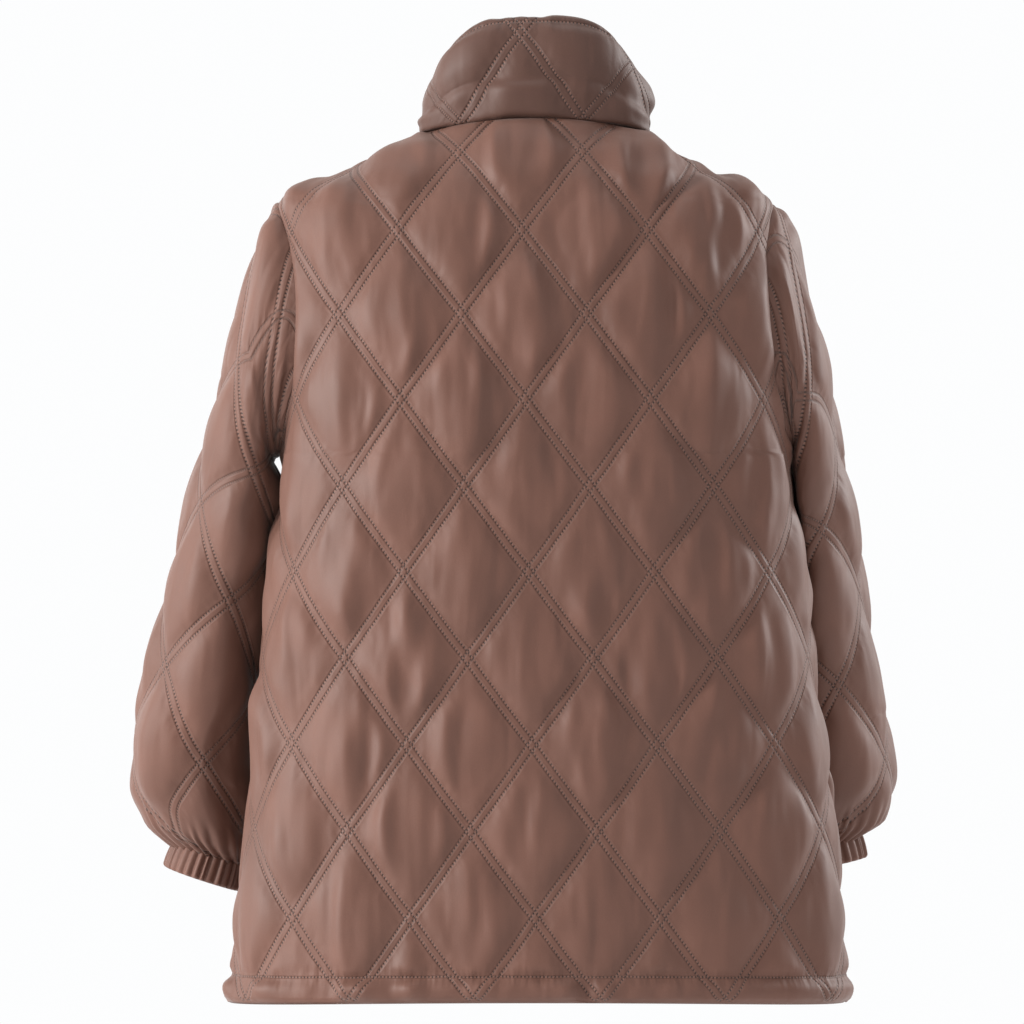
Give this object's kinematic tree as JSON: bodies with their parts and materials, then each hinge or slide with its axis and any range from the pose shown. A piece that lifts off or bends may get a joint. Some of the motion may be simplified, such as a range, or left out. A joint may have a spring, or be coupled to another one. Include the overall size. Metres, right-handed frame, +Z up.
{
  "type": "quilted jacket",
  "caption": "Diamond-quilted padded jacket, filled out as worn, with a stand collar, full zip, set-in sleeves gathered into elastic cuffs and a plain turned hem.",
  "frame": {"origin": "middle of the neck, level with the sides of the collar seam, where the wearer's neck holds the jacket up", "axes": "+Z up, the jacket's front faces -Y, and +X is the wearer's left"},
  "size_m": [0.6217, 0.2988, 0.7848],
  "materials": {
    "quilted_shell": "satin",
    "zip_tape": "matte",
    "zip_metal": "satin"
  },
  "bodies": {
    "jacket": {"back": "quilted_shell", "front_left": "quilted_shell", "front_right": "quilted_shell", "sleeve_left": "quilted_shell", "sleeve_right": "quilted_shell", "cuff_left": "quilted_shell", "cuff_right": "quilted_shell", "collar": "quilted_shell", "zip_tape_left": "zip_tape", "zip_tape_right": "zip_tape", "zip_chain": "zip_metal", "zip_box": "zip_metal", "zip_slider": "zip_metal"},
    "pull_tab": {"zip_pull": "zip_metal"}
  },
  "joints": [
    {"name": "pull_tab_swing", "type": "hinge", "parent": "jacket", "child": "pull_tab", "pos_m": [0, -0.06564, 0.01719], "axis": [-1, 0, 0], "range_deg": [0, 150]}
  ]
}
